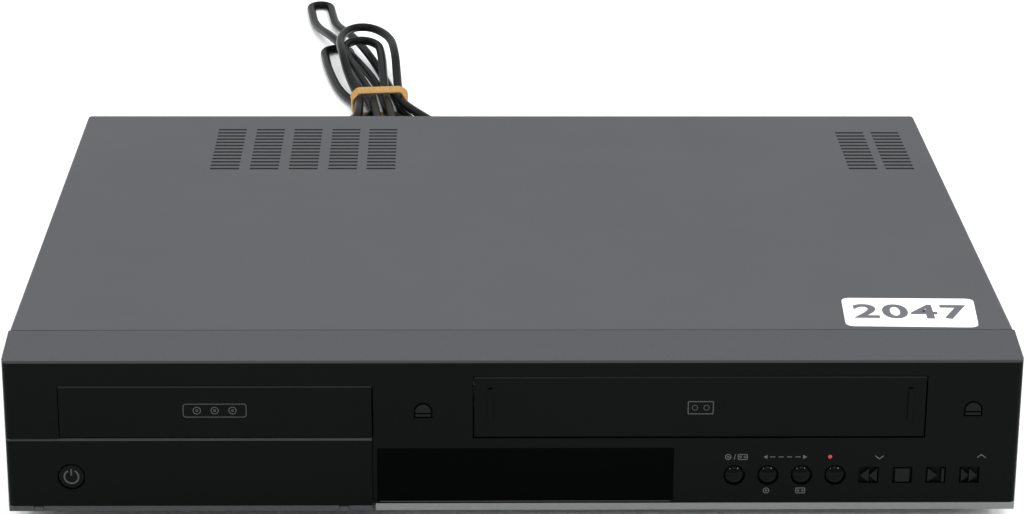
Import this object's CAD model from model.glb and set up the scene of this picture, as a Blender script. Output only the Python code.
from math import cos, pi, radians, sin
import bmesh
import bpy
from mathutils import Matrix, Vector


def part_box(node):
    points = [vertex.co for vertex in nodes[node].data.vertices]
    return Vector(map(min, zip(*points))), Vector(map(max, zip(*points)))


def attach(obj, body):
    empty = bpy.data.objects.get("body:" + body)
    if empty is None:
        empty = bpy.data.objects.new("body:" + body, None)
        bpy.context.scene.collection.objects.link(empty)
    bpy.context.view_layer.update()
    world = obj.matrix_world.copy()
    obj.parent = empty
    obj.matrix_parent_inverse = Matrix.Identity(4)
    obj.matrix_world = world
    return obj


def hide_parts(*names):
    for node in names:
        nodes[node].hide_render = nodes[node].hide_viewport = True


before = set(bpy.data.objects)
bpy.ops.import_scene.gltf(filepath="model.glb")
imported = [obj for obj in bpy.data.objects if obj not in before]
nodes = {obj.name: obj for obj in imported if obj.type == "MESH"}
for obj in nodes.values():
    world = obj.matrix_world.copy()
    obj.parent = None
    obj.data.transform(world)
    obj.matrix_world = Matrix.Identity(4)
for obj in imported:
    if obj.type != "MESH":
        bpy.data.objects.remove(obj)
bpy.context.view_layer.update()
mm = 0.001
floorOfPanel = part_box("front_panel")[0].z     # the front panel's bottom edge
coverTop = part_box("top_cover")[1].z
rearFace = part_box("rear_panel")[1].y
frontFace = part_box("jack_door")[0].y


def at(x, depth, height):
    # millimetres from the unit's middle, its front face and the panel's bottom edge
    return Vector((x * mm, frontFace + depth * mm, floorOfPanel + height * mm))


# Camera, floor and lights
viewer = {"place": (-0.026115, -1.365745, 0.560533), "down": 20.043, "turn": 0.973, "roll": 0.299,
          "lens": 108.01, "shift": 0.01104, "sensor": 36}    # metres, degrees and millimetres


def makeCamera():
    data = bpy.data.cameras.new("camera")
    data.sensor_width, data.lens, data.shift_x = viewer["sensor"], viewer["lens"], viewer["shift"]
    down, turn, roll = (radians(viewer[key]) for key in ("down", "turn", "roll"))
    ahead = Vector((sin(turn) * cos(down), cos(turn) * cos(down), -sin(down)))
    side = Vector((cos(turn), -sin(turn), 0))
    up = side.cross(ahead)
    right = side * cos(roll) + up * sin(roll)
    above = up * cos(roll) - side * sin(roll)
    camera = bpy.data.objects.new("camera", data)
    camera.matrix_world = (Matrix.Translation(viewer["place"])
                           @ Matrix((right, above, -ahead)).transposed().to_4x4())
    bpy.context.collection.objects.link(camera)
    bpy.context.scene.camera = camera


# place, aim, size in metres and power in watts
lamps = {"over": ((0.0, 0.5, 1.9), (0, 0.1, 0), 2.2, 34),
         "left": ((-1.9, -0.5, 1.3), (0, 0, 0.05), 1.2, 12),
         "right": ((1.9, -0.2, 1.2), (0, 0, 0.05), 1.2, 12),
         "near": ((0.2, -2.0, 1.7), (0, 0, 0.03), 1.0, 9),
         "glint left": ((-0.72, -1.45, 0.85), (0.1, -0.17, 0.03), 0.2, 9),
         "glint right": ((0.95, -1.4, 0.85), (0.1, -0.17, 0.03), 0.2, 9)}
worldLight = {"colour": (0.96, 0.98, 1.0, 1), "strength": 0.75}


def makeLights():
    for name, (place, aim, size, power) in lamps.items():
        data = bpy.data.lights.new(name, "AREA")
        data.size, data.energy = size, power
        lamp = bpy.data.objects.new(name, data)
        lamp.location = place
        lamp.rotation_euler = (Vector(aim) - Vector(place)).to_track_quat("-Z", "Y").to_euler()
        bpy.context.collection.objects.link(lamp)
    world = bpy.data.worlds.new("studio")
    world.use_nodes = True
    shade = world.node_tree.nodes["Background"]
    shade.inputs["Color"].default_value = worldLight["colour"]
    shade.inputs["Strength"].default_value = worldLight["strength"]
    bpy.context.scene.world = world
    bpy.context.scene.view_settings.view_transform = "Standard"


# Materials
class Sock:
    # a socket that takes part in sums
    def __init__(self, finish, link):
        self.finish, self.link = finish, link

    def maths(self, operation, first, second):
        return self.finish.node("ShaderNodeMath", {"operation": operation}, {0: first, 1: second})

    def __add__(self, other):
        return self.maths("ADD", self, other)

    def __rsub__(self, other):
        return self.maths("SUBTRACT", other, self)

    def __mul__(self, other):
        return self.maths("MULTIPLY", self, other)

    def __gt__(self, other):
        return self.maths("GREATER_THAN", self, other)

    def __lt__(self, other):
        return self.maths("LESS_THAN", self, other)

    __radd__, __rmul__ = __add__, __mul__


class Finish:
    # one material, with its nodes made by name
    def __init__(self, name):
        self.material = bpy.data.materials.new(name)
        self.material.use_nodes = True
        self.tree = self.material.node_tree
        self.shader = self.tree.nodes["Principled BSDF"]
        self.place = self.node("ShaderNodeTexCoord", out="Object")

    def node(self, kind, settings=None, values=None, out=0):
        made = self.tree.nodes.new(kind)
        for key, value in (settings or {}).items():
            setattr(made, key, value)
        for key, value in (values or {}).items():
            self.feed(made.inputs[key], value)
        return Sock(self, made.outputs[out])

    def feed(self, socket, value):
        if isinstance(value, Sock):
            self.tree.links.new(value.link, socket)
        else:
            socket.default_value = value

    def noise(self, scale, detail=3, rough=0.55, stretch=(1, 1, 1)):
        place = self.node("ShaderNodeVectorMath", {"operation": "MULTIPLY"},
                          {0: self.place, 1: stretch})
        return self.node("ShaderNodeTexNoise", {},
                         {"Vector": place, "Scale": scale, "Detail": detail, "Roughness": rough})

    def specks(self, scale, reach):
        # a few tiny round specks, 1 on a speck and 0 elsewhere
        far = self.node("ShaderNodeTexVoronoi", {}, {"Vector": self.place, "Scale": scale}, "Distance")
        return far < reach

    def axis(self, name):
        return self.node("ShaderNodeSeparateXYZ", {}, {0: self.place}, name)

    def mix(self, share, first, second):
        # sockets 6 and 7 are the two colours, and output 2 is their mixture
        return self.node("ShaderNodeMix", {"data_type": "RGBA"}, {0: share, 6: first, 7: second}, 2)

    def spread(self, value, low, high, start=0.3, end=0.7):
        # a value from start to end becomes one from low to high
        return self.node("ShaderNodeMapRange", {}, {0: value, 1: start, 2: end, 3: low, 4: high})

    def bump(self, height, strength, reach):
        return self.node("ShaderNodeBump", {},
                         {"Height": height, "Strength": strength, "Distance": reach})

    def give(self, **values):
        for key, value in values.items():
            self.feed(self.shader.inputs[sockets[key]], value)


sockets = {"colour": "Base Color", "rough": "Roughness", "metal": "Metallic", "level": "Specular IOR Level",
           "normal": "Normal"}


def colour(red, green, blue):
    return (red, green, blue, 1)


# colours dark and light, grain per metre, roughness low and high, bump depth in metres, specular level, metal
looks = {
    "gloss black": ((0.0010, 0.0013, 0.0012), (0.0016, 0.0020, 0.0018), 900, 0.13, 0.22, 4e-6, 0.04, 0),
    "key black": ((0.0010, 0.0012, 0.0011), (0.0018, 0.0021, 0.0020), 1600, 0.07, 0.11, 2e-6, 0.05, 0),
    "smoked window": ((0.0003, 0.0004, 0.0004), (0.0006, 0.0007, 0.0007), 500, 0.04, 0.08, 1e-6, 0.01, 0),
    "display glass": ((0.015, 0.02, 0.02), (0.03, 0.04, 0.04), 700, 0.08, 0.14, 2e-6, 0.5, 0),
    "cover grey": ((0.0262, 0.0268, 0.0296), (0.0344, 0.035, 0.0382), 2600, 0.40, 0.50, 2.5e-5, 0.40, 0),
    "rear black": ((0.012, 0.012, 0.013), (0.020, 0.020, 0.021), 2400, 0.42, 0.55, 2.5e-5, 0.4, 0),
    "soft black": ((0.008, 0.008, 0.0085), (0.015, 0.015, 0.016), 1800, 0.40, 0.52, 2e-5, 0.4, 0),
    "foot rubber": ((0.010, 0.010, 0.010), (0.020, 0.020, 0.019), 1500, 0.65, 0.85, 4e-5, 0.3, 0),
    "tray grey": ((0.020, 0.020, 0.022), (0.032, 0.032, 0.035), 2200, 0.38, 0.50, 2e-5, 0.4, 0),
    "gear white": ((0.62, 0.61, 0.56), (0.74, 0.73, 0.69), 900, 0.34, 0.46, 1e-5, 0.45, 0),
    "zinc steel": ((0.42, 0.43, 0.43), (0.62, 0.63, 0.62), 120, 0.26, 0.42, 1e-5, 0.5, 1),
    "bare aluminium": ((0.60, 0.61, 0.62), (0.78, 0.79, 0.80), 240, 0.18, 0.32, 6e-6, 0.5, 1),
    "tinned steel": ((0.48, 0.48, 0.46), (0.66, 0.66, 0.64), 180, 0.22, 0.40, 8e-6, 0.5, 1),
    "cord black": ((0.0024, 0.0026, 0.0026), (0.0050, 0.0052, 0.0054), 1400, 0.28, 0.40, 1.5e-5, 0.07, 0),
    "band tan": ((0.26, 0.135, 0.030), (0.42, 0.25, 0.075), 700, 0.50, 0.66, 4e-5, 0.35, 0),
    "sticker white": ((0.70, 0.71, 0.74), (0.80, 0.81, 0.83), 900, 0.42, 0.52, 8e-6, 0.4, 0),
    "sticker ink": ((0.055, 0.055, 0.065), (0.10, 0.10, 0.11), 2400, 0.45, 0.6, 4e-6, 0.35, 0),
    "print grey": ((0.042, 0.044, 0.042), (0.066, 0.068, 0.066), 1800, 0.40, 0.55, 2e-6, 0.3, 0),
    "faint print": ((0.024, 0.026, 0.025), (0.040, 0.042, 0.041), 1800, 0.35, 0.5, 2e-6, 0.3, 0),
    "red print": ((0.26, 0.012, 0.014), (0.34, 0.03, 0.03), 1800, 0.35, 0.5, 2e-6, 0.4, 0),
    "ring yellow": ((0.72, 0.48, 0.02), (0.82, 0.58, 0.04), 900, 0.34, 0.44, 6e-6, 0.45, 0),
    "ring white": ((0.66, 0.66, 0.64), (0.78, 0.78, 0.76), 900, 0.34, 0.44, 6e-6, 0.45, 0),
    "ring red": ((0.46, 0.015, 0.012), (0.58, 0.03, 0.02), 900, 0.34, 0.44, 6e-6, 0.45, 0),
    "contact gold": ((0.70, 0.48, 0.16), (0.84, 0.62, 0.28), 400, 0.20, 0.34, 4e-6, 0.5, 1),
}
stretches = {"zinc steel": (1, 0.08, 1), "bare aluminium": (1, 1, 0.1), "tinned steel": (0.15, 1, 1)}


def tones(name):
    return [colour(*shade) for shade in looks[name][:2]]


def makeFinish(name):
    grain, smooth, rough, depth, level, metal = looks[name][2:]
    dark, light = tones(name)
    made = Finish(name)
    fine = made.noise(grain, stretch=stretches.get(name, (1, 1, 1)))
    broad = made.noise(9, detail=2)
    made.give(colour=made.mix(made.spread(fine * 0.6 + broad * 0.4, 0, 1), dark, light),
              rough=made.spread(broad * 0.7 + fine * 0.3, smooth, rough),
              normal=made.bump(fine, 0.6, depth), level=level, metal=metal)
    return made


finishes = {name: makeFinish(name) for name in looks}
coverDust = {"scale": 34, "reach": 0.014, "share": 0.5, "patches": 5, "over": 0.52,
             "colour": colour(0.30, 0.31, 0.32)}


def makeCoverFinish():
    # satin paint with a few specks of dust, in patches
    made = finishes["cover grey"]
    dark, light = tones("cover grey")
    patches = made.noise(coverDust["patches"], detail=1) > coverDust["over"]
    dust = made.specks(coverDust["scale"], coverDust["reach"]) * patches
    grain, broad = made.noise(2600), made.noise(4, detail=2)
    base = made.mix(made.spread(grain * 0.5 + broad * 0.5, 0, 1), dark, light)
    made.give(colour=made.mix(dust * coverDust["share"], base, coverDust["colour"]))


# tones of the front's parts, and the heights that part them, in millimetres from the table
faceTones = {"bezel": colour(0.052, 0.053, 0.056), "bezelLight": colour(0.060, 0.061, 0.064),
             "bezelLow": 77.7, "lip": colour(0.16, 0.165, 0.163), "lipTop": 12.6,
             "doorLip": colour(0.042, 0.044, 0.045), "doorLipTop": 11.6, "doorsRight": -58.5,
             "smooth": 0.13, "rough": 0.22, "stripRougher": 0.18, "lipRougher": 0.2}
# the lighter line on the bevel of each front piece: from a height, to a height, and its colour
edgeLines = {"panel black": (77.0, 77.7, colour(0.030, 0.031, 0.032)),
             "jack door black": (41.7, 43.0, colour(0.034, 0.036, 0.036)),
             "tray door black": (66.0, 67.0, colour(0.016, 0.018, 0.018)),
             "flap black": (70.1, 71.0, colour(0.012, 0.013, 0.013))}


def makeFaceFinish(name):
    # gloss face with a lighter line on its bevel, satin strip above, and a lower lip that age has dulled
    facts = faceTones
    low, high, line = edgeLines[name]
    made = makeFinish("gloss black")
    dark, light = tones("gloss black")
    level = made.axis("Z")
    grain, broad = made.noise(1200), made.noise(7, detail=2)
    strip = level > facts["bezelLow"] * mm
    rim = (level > low * mm) * (level < high * mm)
    left = made.axis("X") < facts["doorsRight"] * mm
    lipRight = (level < facts["lipTop"] * mm) * (1 - left)
    lip = lipRight + (level < facts["doorLipTop"] * mm) * left
    satin = made.mix(made.spread(grain, 0, 1), facts["bezel"], facts["bezelLight"])
    face = made.mix(rim, made.mix(made.spread(broad, 0, 1), dark, light), line)
    lipTone = made.mix(left, facts["lip"], facts["doorLip"])
    gloss = made.spread(broad * 0.7 + grain * 0.3, facts["smooth"], facts["rough"])
    made.give(colour=made.mix(lip, made.mix(strip, face, satin), lipTone),
              rough=gloss + strip * facts["stripRougher"] + lip * facts["lipRougher"])
    made.material.name = name
    finishes[name] = made


signTones = {"dark": colour(0.0042, 0.0046, 0.0045), "light": colour(0.0062, 0.0067, 0.0065),
             "well": colour(0.0005, 0.0006, 0.0006), "wellDepth": 0.6}


def makeSignFinish():
    # the raised signs of the tape keys are a little lighter than the wells round them
    made = makeFinish("key black")
    sign = made.axis("Y") < frontFace + signTones["wellDepth"] * mm
    grain = made.noise(1600)
    tone = made.mix(made.spread(grain, 0, 1), signTones["dark"], signTones["light"])
    made.give(colour=made.mix(sign, signTones["well"], tone),
              rough=made.spread(grain, 0.2, 0.3) + (1 - sign) * 0.3)
    made.material.name = "sign black"
    finishes["sign black"] = made


boardTones = {"green": colour(0.018, 0.095, 0.040), "greenLight": colour(0.03, 0.14, 0.06),
              "track": colour(0.10, 0.20, 0.08), "part": colour(0.06, 0.06, 0.065), "thick": 1.65}
# each board, the axis and the end of its box that its bare side is at, and its parts' dark colour
boards = {"main board": ("main_board", "Z", 0, colour(0.012, 0.012, 0.013)),
          "power board": ("power_board", "Z", 0, colour(0.02, 0.02, 0.05)),
          "key board": ("key_board", "Y", 1, colour(0.012, 0.012, 0.013)),
          "jack board": ("front_jacks", "Y", 1, colour(0.03, 0.03, 0.03))}


def makeBoardFinish(name):
    # green laminate with copper tracks, and the parts that stand on it
    node, axisName, end, partColour = boards[name]
    made = Finish(name)
    tracks = made.node("ShaderNodeTexBrick", {"offset": 0.5},
                       {"Vector": made.place, "Scale": 160, "Mortar Size": 0.03}, "Fac")
    flux = made.noise(60)
    green = made.mix(made.spread(flux, 0, 1), boardTones["green"], boardTones["greenLight"])
    green = made.mix(tracks * 0.6, green, boardTones["track"])
    level = made.axis(axisName)
    bare = getattr(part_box(node)[end], axisName.lower())
    if end == 0:
        above = level > bare + boardTones["thick"] * mm
    else:
        above = level < bare - boardTones["thick"] * mm
    mottle = made.spread(made.noise(90, detail=1), 0, 1, 0.45, 0.55)
    parts = made.mix(mottle, partColour, boardTones["part"])
    made.give(colour=made.mix(above, green, parts), rough=made.spread(flux, 0.30, 0.5) + above * 0.12,
              normal=made.bump(flux, 0.5, 2e-5), level=0.45)
    finishes[name] = made


socketTones = {"board": colour(0.02, 0.10, 0.045), "block": colour(0.012, 0.012, 0.012),
               "blockLight": colour(0.02, 0.02, 0.02), "sleeve": colour(0.66, 0.66, 0.64),
               "boardThick": 1.7, "panelSlip": 0.1}


def makeSocketFinish():
    # green board, black socket block and plated sleeves, told apart by how far back they stand
    facts = socketTones
    made = Finish("socket board")
    back = made.axis("Y")
    sleeve = back > rearFace - facts["panelSlip"] * mm
    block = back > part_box("socket_board")[0].y + facts["boardThick"] * mm
    grain = made.noise(900)
    moulding = made.mix(made.spread(grain, 0, 1), facts["block"], facts["blockLight"])
    base = made.mix(block, facts["board"], moulding)
    made.give(colour=made.mix(sleeve, base, facts["sleeve"]), metal=sleeve,
              rough=made.spread(grain, 0.28, 0.42), normal=made.bump(grain, 0.5, 8e-6), level=0.45)
    finishes["socket board"] = made


dressing = {
    "panel black": ["front_panel"],
    "jack door black": ["jack_door"],
    "tray door black": ["tray_door"],
    "flap black": ["cassette_flap"],
    "key black": ["power_button", "key_source", "key_copy_left", "key_copy_right", "key_record"],
    "sign black": ["key_rewind", "key_stop", "key_play", "key_forward", "disc_eject_key",
                   "tape_eject_key"],
    "smoked window": ["display_window"],
    "display glass": ["display_module"],
    "cover grey": ["top_cover"],
    "rear black": ["rear_panel"],
    "soft black": ["wide_socket_1", "wide_socket_2", "loader_frame", "turntable", "pickup_sled",
                   "supply_reel", "takeup_reel"],
    "foot rubber": ["feet", "pinch_roller"],
    "tray grey": ["disc_tray"],
    "gear white": ["tray_pinion", "disc_clamper"],
    "zinc steel": ["bottom_chassis", "clamp_bridge", "drive_plate", "deck_plate", "carriage_frame",
                   "cassette_basket"],
    "bare aluminium": ["heat_sink", "drum_base", "head_drum"],
    "tinned steel": ["tuner", "loading_motor", "capstan", "tape_heads"],
    "main board": ["main_board"],
    "power board": ["power_board"],
    "key board": ["key_board"],
    "jack board": ["front_jacks"],
    "socket board": ["socket_board"],
}


def dressNodes():
    makeCoverFinish()
    for name in edgeLines:
        makeFaceFinish(name)
    makeSignFinish()
    for name in boards:
        makeBoardFinish(name)
    makeSocketFinish()
    for finish, names in dressing.items():
        for name in names:
            node = nodes[name]
            if not node.material_slots:
                node.data.materials.append(finishes[finish].material)
            for place in node.material_slots:
                place.material = finishes[finish].material


# Mesh shapes
class Shape:
    def __init__(self):
        self.points, self.faces = [], []

    def prism(self, outline, reach):
        return self.rings([outline, [Vector(p) + reach for p in outline]])

    def rings(self, rings, joined=False):
        # skin through rings of equal count, capped at both ends unless it joins up
        start, count = len(self.points), len(rings[0])
        for ring in rings:
            self.points += [Vector(p) for p in ring]
        steps = len(rings) if joined else len(rings) - 1
        for r in range(steps):
            here, there = start + r * count, start + (r + 1) % len(rings) * count
            for i in range(count):
                j = (i + 1) % count
                self.faces.append((here + i, here + j, there + j, there + i))
        if not joined:
            last = start + (len(rings) - 1) * count
            self.faces.append(tuple(start + i for i in reversed(range(count))))
            self.faces.append(tuple(last + i for i in range(count)))
        return self

    def turned(self, profile, centre, axis, steps=40, joined=False):
        axis = Vector(axis).normalized()
        side = axis.orthogonal().normalized()
        other = axis.cross(side)
        return self.rings([[Vector(centre) + axis * along + (side * cos(2 * pi * i / steps)
                                                             + other * sin(2 * pi * i / steps)) * radius
                            for i in range(steps)] for radius, along in profile], joined)

    def block(self, low, high):
        low, high = Vector(low), Vector(high)
        return self.prism([(low.x, low.y, low.z), (high.x, low.y, low.z), (high.x, high.y, low.z),
                           (low.x, high.y, low.z)], Vector((0, 0, high.z - low.z)))

    def piece(self, name, finish, body, slot, smooth=None, bevel=0, replaces=()):
        mesh = bpy.data.meshes.new(name)
        mesh.from_pydata(self.points, [], self.faces)
        work = bmesh.new()
        work.from_mesh(mesh)
        bmesh.ops.recalc_face_normals(work, faces=work.faces)
        work.to_mesh(mesh)
        work.free()
        made = bpy.data.objects.new(name, mesh)
        bpy.context.collection.objects.link(made)
        if bevel:
            edge = made.modifiers.new("edge", "BEVEL")
            edge.width, edge.segments, edge.limit_method = bevel, 3, "ANGLE"
        if smooth is not None:
            mesh.shade_smooth()
            mesh.set_sharp_from_angle(angle=radians(smooth))
        mesh.materials.append(finishes[finish].material)
        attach(made, body)
        if replaces:
            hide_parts(*replaces)
        return made


def roundedOutline(halfWide, halfHigh, corner, steps=5):
    # points of a rectangle with round corners, about its middle
    points = []
    for k, (sx, sy) in enumerate(((1, 1), (-1, 1), (-1, -1), (1, -1))):
        for i in range(steps + 1):
            a = pi / 2 * (k + i / steps)
            points.append((sx * (halfWide - corner) + corner * cos(a),
                           sy * (halfHigh - corner) + corner * sin(a)))
    return points


# Cord: free part, hank, and the plug at the end
# places are x from the unit's middle, depth from its front and height above the table
cordFacts = {"radius": 2.65, "solid": 2.9, "left": -180.0, "high": 20.0}
hankFacts = {"x": -70.0, "depth": 592.0, "lean": 6.0, "step": 8.4, "reach": 10.0, "low": 4.4, "gap": 0.6}
freeRoute = [(-180.0, 352.02, 28.0), (-180.0, 376.0, 28.0), (-179.2, 401.5, 20.5), (-177.0, 426.0, 9.2),
             (-173.0, 451.0, 4.0), (-166.5, 476.0, 3.1), (-157.0, 499.5, 3.2), (-141.6, 519.4, 3.1)]
# the rest is along and across the hank
leadIn = [(-56.0, -52.0, 3.1), (-30.0, -37.5, 3.1)]
leadOut = [(-52.0, 10.1), (-92.0, 9.8), (-114.0, 6.9), (-128.0, 6.9)]
# each loop: way, first strand, second strand, tip (across, along, height), half width, length of the round
# tip, and stations out and back (along, share of the way to the loop's edge, height)
hankLoops = [
    (1, (0, 0), (1, 0), (-16.5, 138, 3.0), 8.4, 11, [(40, 0.7, 3.1), (90, 1, 3.1)], [(36, 0.9, 3.1)]),
    (-1, (1, 0), (2, 0), (0, 52, 3.0), 17.0, 17, [], []),
    (1, (2, 0), (3, 0), (-20.0, 246, 3.0), 6.8, 9,
     [(36, 0.05, 6.8), (62, 0.22, 9.9), (140, 0.72, 10.4), (190, 1, 3.6)],
     [(60, 0.2, 6.5), (96, 0.4, 9.9), (146, 0.72, 9.9), (192, 1, 3.4)]),
    (-1, (3, 0), (0, 1), (0, 92, 3.0), 25.0, 25, [(36, 0.8, 3.1)], [(36, 0.3, 10.6)]),
    (1, (0, 1), (3, 1), (-1.6, 117, 23.0), 16.4, 42, [(36, 0.7, 16)], [(34, 0.5, 16)]),
    (-1, (3, 1), (2, 1), (19.5, 86, 9.7), 15.3, 16, [(40, 0.5, 10.7)], [(40, 0.7, 10.7)]),
    (1, (2, 1), (1, 1), (-3.5, 105, 17.6), 11.0, 20, [(38, 0.45, 13.8), (62, 0.9, 16.0)],
     [(38, 0.45, 13.8), (62, 0.9, 16.0)]),
]
# where an eight-sided outline round a circle has its corners, as shares of the radius
octagon = {"first": 1.414, "second": 0.586, "third": 0.414}


def onTable(x, depth, z):
    return Vector((x * mm, frontFace + depth * mm, z * mm))


def hankPoint(across, along, z):
    lean = radians(hankFacts["lean"])
    return onTable(hankFacts["x"] + across * cos(lean) - along * sin(lean),
                   hankFacts["depth"] + across * sin(lean) + along * cos(lean), z)


def strand(column, layer):
    return ((column - 1.5) * hankFacts["step"],
            hankFacts["low"] + layer * (2 * cordFacts["solid"] + hankFacts["gap"]))


def hankLoop(way, out, back, tip, halfWidth, tipLength, outStations, backStations):
    across, reach, height = tip
    side = halfWidth if out[0] > back[0] else -halfWidth
    points = []
    for place, stations, edge in ((out, outStations, across + side), (back, backStations, across - side)):
        column, level = strand(*place)
        run = [(column, way * hankFacts["reach"], level)]
        run += [(column + share * (edge - column), way * along, z) for along, share, z in stations]
        # three points turn each side of a round tip
        run += [(edge, way * (reach - octagon["first"] * tipLength), height),
                (edge, way * (reach - octagon["second"] * tipLength), height),
                (across + octagon["third"] * (edge - across), way * reach, height)]
        points += run if place is out else run[::-1]
    return points


def makeCord():
    route = [onTable(*p) for p in freeRoute] + [hankPoint(*p) for p in leadIn]
    route.append(hankPoint(strand(0, 0)[0], -hankFacts["reach"] - 2, hankFacts["low"]))
    for loop in hankLoops:
        route += [hankPoint(*p) for p in hankLoop(*loop)]
    across, level = strand(1, 1)
    route += [hankPoint(across, along, z) for along, z in [(-hankFacts["reach"], level)] + leadOut]
    data = bpy.data.curves.new("mains_cord", "CURVE")
    data.dimensions = "3D"
    line = data.splines.new("NURBS")
    line.points.add(len(route) - 1)
    for point, place in zip(line.points, route):
        point.co = (*place, 1)
    line.order_u = 3
    line.use_endpoint_u = True
    data.resolution_u = 8
    data.bevel_depth = cordFacts["radius"] * mm
    data.bevel_resolution = 4
    data.use_fill_caps = True
    data.materials.append(finishes["cord black"].material)
    cord = bpy.data.objects.new("mains_cord", data)
    bpy.context.collection.objects.link(cord)
    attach(cord, "case")
    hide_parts("power_cord", "cord_hank")
    return cord, route[0]


reliefFacts = {"panel": 332.0, "inside": -5.0, "length": 20.0, "half": 5.0, "tip": 3.4, "grooves": 6,
               "grooveStart": 2.6, "grooveEnd": 0.8, "grooveDeep": 0.7,
               # distance from the panel's face and half width of the clip and the flange
               "flange": [(-4.7, 5.0), (-4.6, 6.1), (-1.3, 6.1), (-1.2, 5.0), (0.0, 5.0), (0.02, 6.2),
                          (0.4, 6.5), (1.6, 6.5), (2.0, 6.1)]}


def makeRelief():
    # tapering sleeve with grooves, square at the panel and round at its tip
    facts = reliefFacts
    inside, length, tip, deep = facts["inside"], facts["length"], facts["tip"], facts["grooveDeep"]
    spots = [(inside, 4.6), (inside + 0.3, 5.0)] + facts["flange"]
    pitch = (length - facts["grooveStart"] - facts["grooveEnd"]) / facts["grooves"]
    for i in range(facts["grooves"]):
        half = facts["half"] - (facts["half"] - tip) * (i + 0.5) / facts["grooves"]
        base = facts["grooveStart"] + pitch * i
        spots += [(base, half - deep), (base + 0.5, half - deep), (base + 0.8, half),
                  (base + pitch - 0.4, half - 0.15), (base + pitch - 0.1, half - deep)]
    spots += [(length - 0.7, tip), (length - 0.1, tip - 0.15), (length, tip - 0.5)]
    rings = []
    for along, half in spots:
        share = min(max(along / length, 0), 1)
        corner = half * (0.25 + 0.74 * share)
        rings.append([at(cordFacts["left"] + x, facts["panel"] + along, cordFacts["high"] + z)
                      for x, z in roundedOutline(half, half, corner)])
    return Shape().rings(rings).piece("cord_relief", "cord black", "case", "cord_black", smooth=40,
                                      replaces=["strain_relief"])


bandFacts = {"thick": 1.2, "slip": 0.3, "corner": 4.4, "edge": 0.45, "lowest": 0.05,
             "wraps": [{"half": 2.8, "lean": 0.7, "drift": 1.1, "rise": 2.3, "phase": 0.4},
                       {"half": 2.0, "lean": 1.0, "drift": -1.3, "rise": 2.9, "phase": 1.3}]}


def bandRing(wrap, path, i, halfWide, middle):
    # one cross-section of a wrap, turned and lifted a little by its own waves
    facts, phase = bandFacts, wrap["phase"]
    across, up = path[i]
    turn = 2 * pi * i / len(path)
    before, after = path[i - 1], path[(i + 1) % len(path)]
    out = Vector((after[1] - before[1], before[0] - after[0])).normalized()
    top = max(out.y, 0)
    lean = wrap["lean"] * top + 0.2 * sin(turn * 2 + phase)
    drift = wrap["drift"] * sin(turn + phase) + 0.2 * sin(3 * turn)
    arch = 1.05 - (across / halfWide) ** 2
    rise = wrap["rise"] * top * arch + 0.15 * sin(5 * turn + phase)
    half = wrap["half"] + 0.25 * sin(3 * turn + phase)
    ring = []
    for along, thick in roundedOutline(half, facts["thick"] / 2 - 0.03, facts["edge"], steps=3):
        lift = thick * cos(lean) + along * sin(lean) + rise
        shift = along * cos(lean) - thick * sin(lean)
        height = max(middle + up + out.y * lift, facts["lowest"])    # it lies on the table, not in it
        ring.append(hankPoint(across + out.x * lift, shift + drift, height))
    return ring


def makeBand():
    # flat rubber band round the waist, a little twisted and uneven
    facts = bandFacts
    clear = cordFacts["solid"] + facts["slip"] + facts["thick"] / 2
    halfWide = 1.5 * hankFacts["step"] + clear
    high, low = strand(0, 1)[1] + clear, hankFacts["low"] - clear
    middle, halfHigh = (high + low) / 2, (high - low) / 2
    path = roundedOutline(halfWide, halfHigh, facts["corner"], steps=9)
    band = Shape()
    for wrap in facts["wraps"]:
        band.rings([bandRing(wrap, path, i, halfWide, middle) for i in range(len(path))], joined=True)
    return band.piece("rubber_band", "band tan", "case", "band_tan", smooth=50, replaces=["cord_band"])


plugFacts = {"width": 35.0, "length": 34.0, "thick": 13.4, "back": -128.0, "level": 6.9, "pitch": 18.6,
             "pinRadius": 2.0, "pinLength": 19.0, "sleeve": 9.0, "grips": 5, "gripStart": 18.0,
             "gripPitch": 2.4, "gripWide": 0.7, "gripHigh": 0.5,
             # distance from the cord's end, half width and half height of the neck
             "neck": [(-0.9, 2.7, 2.7), (-0.6, 3.3, 3.3), (0.5, 3.6, 3.5), (3.0, 5.0, 4.2), (6.0, 9.0, 5.2),
                      (9.0, 13.2, 6.0), (11.5, 15.6, 6.4)]}


def makePlugBody():
    facts = plugFacts
    middle = strand(1, 1)[0]
    wide, high = facts["width"] / 2, facts["thick"] / 2
    spots = facts["neck"] + [(14.0, 16.8, high), (17.0, 17.3, high)]
    for i in range(facts["grips"]):
        base = facts["gripStart"] + facts["gripPitch"] * i
        narrow, flat = wide - facts["gripWide"], high - facts["gripHigh"]
        spots += [(base, wide, high), (base + 0.4, narrow, flat), (base + 1.2, narrow, flat),
                  (base + 1.6, wide, high)]
    spots += [(31.0, wide - 0.1, high), (33.2, wide - 0.6, high - 0.3),
              (facts["length"], wide - 1.6, high - 1.2)]
    rings = []
    for far, halfWide, halfHigh in spots:
        outline = roundedOutline(halfWide, halfHigh, min(halfWide, halfHigh) * 0.92, steps=8)
        rings.append([hankPoint(middle + a, facts["back"] - far, facts["level"] + z) for a, z in outline])
    return Shape().rings(rings).piece("plug_body", "cord black", "case", "plug_black", smooth=50,
                                      replaces=["plug"])


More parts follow.
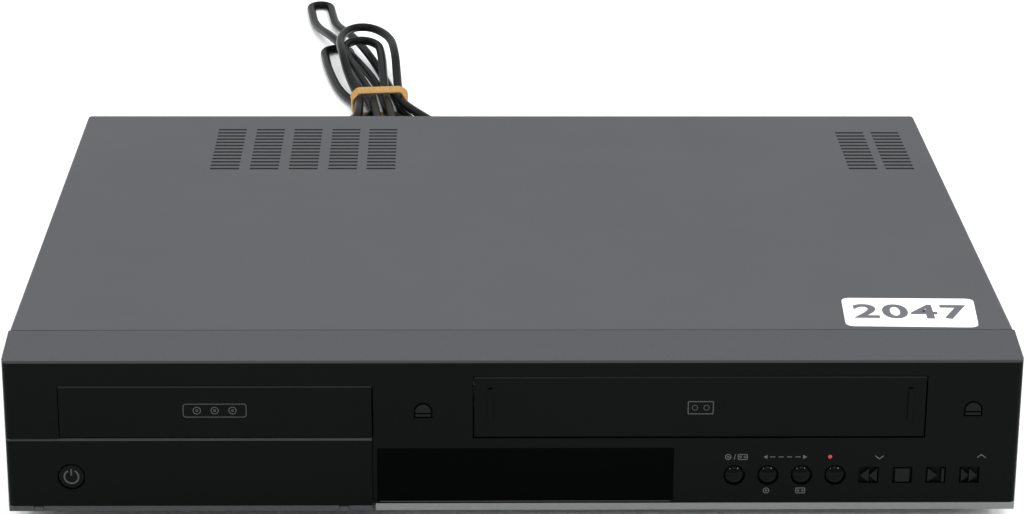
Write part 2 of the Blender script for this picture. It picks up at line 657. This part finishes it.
def makePlug():
    facts = plugFacts
    body = makePlugBody()
    metal, sleeves = Shape(), Shape()
    radius, reach, sleeve = facts["pinRadius"], facts["pinLength"], facts["sleeve"]
    way = (hankPoint(0, -1, 0) - hankPoint(0, 0, 0)).normalized()
    for side in (-1, 1):
        foot = hankPoint(strand(1, 1)[0] + side * facts["pitch"] / 2,
                         facts["back"] - facts["length"] + 0.3, facts["level"])
        cover = [(radius - 0.02, 0), (radius - 0.02, sleeve), (radius - 0.25, sleeve + 0.3)]
        sleeves.turned([(r * mm, a * mm) for r, a in cover], foot, way, 24)
        pin = [(radius - 0.15, sleeve), (radius - 0.1, reach - 1.4), (radius - 0.5, reach - 0.5),
               (radius - 1.2, reach)]
        metal.turned([(r * mm, a * mm) for r, a in pin], foot, way, 24)
    return [body, metal.piece("plug_pins", "tinned steel", "case", "tin_steel", smooth=40),
            sleeves.piece("pin_sleeves", "soft black", "case", "plug_black", smooth=40)]


# Front details
def onFront(x, height, out=0.0):
    return at(x, -out, height)


def frontPrism(shape, outline, x, height, out, inward=0.1):
    points = [onFront(x + px, height + pz, out) for px, pz in outline]
    return shape.prism(points, Vector((0, (out + inward) * mm, 0)))


def frontRing(shape, x, height, outer, inner, out, inward=0.1, steps=32, start=0.0, sweep=360.0):
    # flat ring, or an arc of one, printed or raised on the front
    whole = sweep >= 360
    count = steps if whole else steps + 1
    rings = []
    for i in range(count):
        a = radians(start + sweep * i / steps)
        rings.append([onFront(x + r * cos(a), height + r * sin(a), o)
                      for r, o in ((inner, -inward), (outer, -inward), (outer, out), (inner, out))])
    return shape.rings(rings, joined=whole)


keyCaps = {"key_source": 94.09, "key_copy_left": 108.42, "key_copy_right": 122.75, "key_record": 137.08}
keyCap = {"row": 17.45, "ball": 6.6, "front": -0.72, "flange": 2.65, "flangeHalf": 5.4,
          "flangeThick": 1.0, "stemHalf": 1.8,
          "radii": (0.3, 0.8, 1.3, 1.8, 2.3, 2.8, 3.2, 3.6, 3.9),    # where the dome has its rings
          "rim": [(4.06, 0.76), (4.17, 1.0), (4.2, 1.3), (4.2, 2.85)]}


def makeKeyCaps():
    # domed caps with their square flange and stem
    facts = keyCap
    ball, row, half, stem = facts["ball"], facts["row"], facts["flangeHalf"], facts["stemHalf"]
    profile = [(r, facts["front"] + ball - (ball ** 2 - r ** 2) ** 0.5) for r in facts["radii"]]
    profile += facts["rim"]
    back = facts["flange"] + facts["flangeThick"]
    for name, x in keyCaps.items():
        cap = Shape().turned([(r * mm, d * mm) for r, d in profile], at(x, 0, row), (0, 1, 0), 48)
        cap.block(at(x - half, facts["flange"], row - half), at(x + half, back, row + half))
        stemEnd = Vector(((x + stem) * mm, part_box(name)[1].y, at(0, 0, row + stem).z))
        cap.block(at(x - stem, back - 0.1, row - stem), stemEnd)
        cap.piece(name + "_cap", "key black", name, "key_black", smooth=50, replaces=[name])


powerFacts = {"x": -187.5, "height": 17.2, "sign": 2.9, "line": 0.42, "out": -0.02, "inward": 0.16,
              "start": 118, "sweep": 304, "stroke": [(-0.3, 0.6), (0.3, 0.6), (0.3, 3.6), (-0.3, 3.6)]}


def makePowerSign():
    facts = powerFacts
    x, height, size, line = facts["x"], facts["height"], facts["sign"], facts["line"]
    sign = Shape()
    frontRing(sign, x, height, size + line, size - line / 2, facts["out"], facts["inward"], 36,
              facts["start"], facts["sweep"])
    frontPrism(sign, facts["stroke"], x, height, facts["out"], facts["inward"])
    sign.piece("power_sign", "faint print", "power_button", "key_black")


# places and heights of the printed signs, and how far the print stands out
marks = {"above": 25.9, "below": 10.3, "dot": 134.7, "down": 155.7, "up": 199.1,
         "out": 0.05, "faintOut": 0.04, "disc": 91.3, "slash": 94.1, "tape": 97.5,
         "arrowLeft": 107.2, "arrowRight": 124.0,
         "dashes": (110.2, 113.8, 117.4, 121.0), "discBelow": 107.9, "tapeBelow": 122.5,
         "discSize": 1.35, "tapeWide": 4.2, "tapeHigh": 2.6,
         "tray": (-126.0, 47.6), "trayDiscs": (-7.5, 0, 7.5), "trayDisc": 1.7,
         "flap": (79.0, 48.6), "flapWide": 11.0, "flapHigh": 6.0, "flapLine": 0.4}


def frameRing(shape, x, height, outer, inner, out, inward=0.1):
    # a printed line between two outlines
    shape.rings([[onFront(x + ix, height + iz, -inward), onFront(x + ox, height + oz, -inward),
                  onFront(x + ox, height + oz, out), onFront(x + ix, height + iz, out)]
                 for (ox, oz), (ix, iz) in zip(outer, inner)], joined=True)


def discSign(shape, x, height, size, out=0.05):
    frontRing(shape, x, height, size, size - 0.32, out)
    frontRing(shape, x, height, size * 0.34, size * 0.34 - 0.3, out)


def tapeSign(shape, x, height, wide, tall, out=0.05, line=0.32):
    w, h = wide / 2, tall / 2
    frameRing(shape, x, height, roundedOutline(w, h, 0.5), roundedOutline(w - line, h - line, 0.25), out)
    for side in (-1, 1):
        frontRing(shape, x + side * w * 0.45, height, h * 0.42, h * 0.42 - 0.25, out, steps=20)


def makeKeyMarks():
    facts = marks
    above, below, out = facts["above"], facts["below"], facts["out"]
    printed = Shape()
    discSign(printed, facts["disc"], above, facts["discSize"])
    frontPrism(printed, [(-0.45, -1.2), (-0.15, -1.2), (0.45, 1.2), (0.15, 1.2)], facts["slash"], above, out)
    tapeSign(printed, facts["tape"], above, facts["tapeWide"], facts["tapeHigh"])
    for x, way in ((facts["arrowLeft"], -1), (facts["arrowRight"], 1)):
        arrow = [(-way * 0.8, -0.9), (way * 0.9, 0), (-way * 0.8, 0.9)]
        frontPrism(printed, arrow if way > 0 else arrow[::-1], x, above, out)
    for x in facts["dashes"]:
        frontPrism(printed, [(-1.1, -0.16), (1.1, -0.16), (1.1, 0.16), (-1.1, 0.16)], x, above, out)
    discSign(printed, facts["discBelow"], below, facts["discSize"])
    tapeSign(printed, facts["tapeBelow"], below, facts["tapeWide"], facts["tapeHigh"])
    for x, way in ((facts["down"], -1), (facts["up"], 1)):
        chevron = [(-1.8, -way * 0.7), (0, way * 0.7), (1.8, -way * 0.7), (1.8, -way * 0.25),
                   (0, way * 1.15), (-1.8, -way * 0.25)]
        frontPrism(printed, chevron if way < 0 else chevron[::-1], x, above, out)
    printed.piece("front_marks", "print grey", "case", "front_black")
    dot = Shape().turned([(0.85 * mm, 0), (0.85 * mm, 0.1 * mm), (0.75 * mm, 0.16 * mm)],
                         onFront(facts["dot"], above, -0.1), (0, -1, 0), 28)
    dot.piece("record_mark", "red print", "case", "front_black", smooth=40)


def makeMarks():
    facts = marks
    makeKeyMarks()
    badge = Shape()
    x, height = facts["tray"]
    frameRing(badge, x, height, roundedOutline(13.4, 3.1, 1.2), roundedOutline(13.1, 2.8, 0.9),
              facts["faintOut"])
    for step in facts["trayDiscs"]:
        discSign(badge, x + step, height, facts["trayDisc"], facts["faintOut"])
    badge.piece("tray_marks", "faint print", "tray", "front_black")
    flapSign = Shape()
    tapeSign(flapSign, *facts["flap"], facts["flapWide"], facts["flapHigh"], facts["faintOut"],
             facts["flapLine"])
    flapSign.piece("flap_marks", "faint print", "cassette_flap", "front_black")
    edge = Shape().block(onFront(-56.6, 5.45, 0.03), at(67.0, 0.2, 5.62))
    edge.piece("window_edge", "print grey", "case", "front_black")


# Sticker with a plain number, on the cover
stickerFacts = {"corners": [(143.2, 31.3), (200.1, 29.4), (203.0, 63.8), (145.0, 65.1)], "thick": 0.14,
                "sunk": 0.02, "round": 4.2, "number": "2047", "size": 0.0225, "bold": 0.0006,
                "spacing": 1.12, "inkThick": 0.03}


def makeSticker():
    facts = stickerFacts
    corners = [Vector((x * mm, frontFace + d * mm, coverTop)) for x, d in facts["corners"]]
    up = Vector((0, 0, 1))
    outline = []
    for i, corner in enumerate(corners):
        before = (corners[i - 1] - corner).normalized()
        after = (corners[(i + 1) % 4] - corner).normalized()
        first, last = corner + before * facts["round"] * mm, corner + after * facts["round"] * mm
        for k in range(7):
            t = k / 6
            outline.append(first * (1 - t) ** 2 + corner * 2 * t * (1 - t) + last * t ** 2)
    sunk = [p - up * facts["sunk"] * mm for p in outline]
    Shape().prism(sunk, up * facts["thick"] * mm).piece("number_sticker", "sticker white", "case",
                                                        "cover_grey")
    text = bpy.data.curves.new("sticker_number", "FONT")
    text.body, text.size = facts["number"], facts["size"]
    text.align_x, text.align_y = "CENTER", "CENTER"
    text.extrude, text.offset = facts["inkThick"] * mm, facts["bold"]
    text.space_character = facts["spacing"]
    text.materials.append(finishes["sticker ink"].material)
    number = bpy.data.objects.new("sticker_number", text)
    along = (corners[1] + corners[2] - corners[0] - corners[3]).normalized()
    middle = sum(corners, Vector()) / 4 + up * (facts["thick"] + facts["sunk"]) * mm
    turn = Matrix((along, up.cross(along), up)).transposed().to_4x4()
    number.matrix_world = Matrix.Translation(middle) @ turn
    bpy.context.collection.objects.link(number)
    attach(number, "case")


# Screws of the cover and the rear panel
screwFacts = {"head": 3.6, "rise": 0.9, "slot": 0.55, "slotHalf": 1.7, "slotSunk": 0.3, "slotThick": 0.33,
              "steps": 28}
# how far round and how high the head's rings are, as shares of its radius and rise
screwCurve = [(0.9, 0.6), (0.7, 0.88), (0.45, 1)]
# x, depth and height of each screw, and the way that it faces
screwSpots = [(-215.0, 60.0, 12.0, (-1, 0, 0)), (-215.0, 290.0, 12.0, (-1, 0, 0)),
              (215.0, 60.0, 12.0, (1, 0, 0)), (215.0, 290.0, 12.0, (1, 0, 0)),
              (-205.0, 332.0, 60.0, (0, 1, 0)), (-60.0, 332.0, 66.0, (0, 1, 0)),
              (205.0, 332.0, 60.0, (0, 1, 0)), (-36.0, 332.0, 34.0, (0, 1, 0)),
              (40.0, 332.0, 36.0, (0, 1, 0)), (105.0, 332.0, 36.0, (0, 1, 0)),
              (150.0, 332.0, 34.0, (0, 1, 0)), (150.0, 332.0, 12.0, (0, 1, 0))]


def makeScrews():
    facts = screwFacts
    heads, slots = Shape(), Shape()
    r, rise, half, reach = facts["head"], facts["rise"], facts["slot"] / 2, facts["slotHalf"]
    profile = [(r, -0.05), (r, 0.2)] + [(a * r, b * rise) for a, b in screwCurve]
    up = Vector((0, 0, 1))
    for x, depth, height, axis in screwSpots:
        foot, axis = at(x, depth, height), Vector(axis)
        heads.turned([(a * mm, b * mm) for a, b in profile], foot, axis, facts["steps"])
        side = axis.cross(up)
        for first, second in ((side, up), (up, side)):
            base = foot + axis * (rise - facts["slotSunk"]) * mm
            corners = [base + first * a * mm + second * b * mm
                       for a, b in ((-reach, -half), (reach, -half), (reach, half), (-reach, half))]
            slots.prism(corners, axis * facts["slotThick"] * mm)
    heads.piece("cover_screws", "tinned steel", "case", "tin_steel", smooth=50)
    slots.piece("screw_slots", "soft black", "case", "socket_black")


# Rear sockets
rearFacts = {"face": 332.0, "columns": [-24.0, -4.0], "low": 20.0, "pitch": 14.0, "wide": 72.0,
             "lows": [16.0, 42.0], "contacts": 10, "contactStart": -17.1, "contactPitch": 3.8,
             "contactRows": (5.6, 9.4), "contactHalf": (0.5, 0.35), "contactDepths": (330.9, 331.3),
             "aerial": 172.0, "aerialFace": 332.6, "aerialLows": [24.0, 44.0],
             # radius and distance out of the colour rings and of the aerial cores
             "ring": [(4.2, -0.15), (5.7, -0.15), (5.7, 1.1), (5.3, 1.5), (4.2, 1.5)],
             "core": [(1.6, 0), (1.6, 7.0), (1.25, 7.4), (0.9, 7.4), (0.9, 3.0)]}


def makeRearDetails():
    facts = rearFacts
    backward = (0, 1, 0)
    for i, name in enumerate(["red", "white", "yellow"]):
        rings = Shape()
        for x in facts["columns"]:
            centre = at(x, facts["face"], facts["low"] + facts["pitch"] * i)
            rings.turned([(r * mm, d * mm) for r, d in facts["ring"]], centre, backward, 36, joined=True)
        rings.piece(f"socket_rings_{name}", "ring " + name, "case", "socket_black", smooth=35)
    pins = Shape()
    halfWide, halfHigh = facts["contactHalf"]
    near, far = facts["contactDepths"]
    for low in facts["lows"]:
        for i in range(facts["contacts"]):
            for row in facts["contactRows"]:
                x = facts["wide"] + facts["contactStart"] + facts["contactPitch"] * i
                pins.block(at(x - halfWide, near, low + row - halfHigh),
                           at(x + halfWide, far, low + row + halfHigh))
    pins.piece("wide_socket_contacts", "contact gold", "case", "tin_steel")
    cores = Shape()
    for low in facts["aerialLows"]:
        centre = at(facts["aerial"], facts["aerialFace"], low)
        cores.turned([(r * mm, d * mm) for r, d in facts["core"]], centre, backward, 24)
    cores.piece("aerial_cores", "contact gold", "case", "tin_steel", smooth=35)


# Floor
floorFacts = {"corners": [(-8, -6, 0), (8, -6, 0), (8, 9, 0), (-8, 9, 0)], "cloud": 1.5,
              "dark": colour(0.90, 0.90, 0.90), "light": colour(0.93, 0.93, 0.93)}


def makeFloor():
    facts = floorFacts
    data = bpy.data.meshes.new("floor")
    data.from_pydata(facts["corners"], [], [(0, 1, 2, 3)])
    floor = bpy.data.objects.new("floor", data)
    bpy.context.collection.objects.link(floor)
    made = Finish("pale floor")
    cloud = made.noise(facts["cloud"], detail=2)
    made.give(colour=made.mix(cloud, facts["dark"], facts["light"]), rough=0.9, level=0.1)
    data.materials.append(made.material)


makeCamera()
makeLights()
makeFloor()
print("camera, lights and floor made")
cord, cordExit = makeCord()
relief = makeRelief()
band = makeBand()
plugPieces = makePlug()
print("cord, band and plug made")
dressNodes()
print("carried-over pieces dressed")
makeKeyCaps()
makePowerSign()
makeMarks()
makeSticker()
print("front signs and sticker made")
makeScrews()
makeRearDetails()
print("screws and rear sockets made")
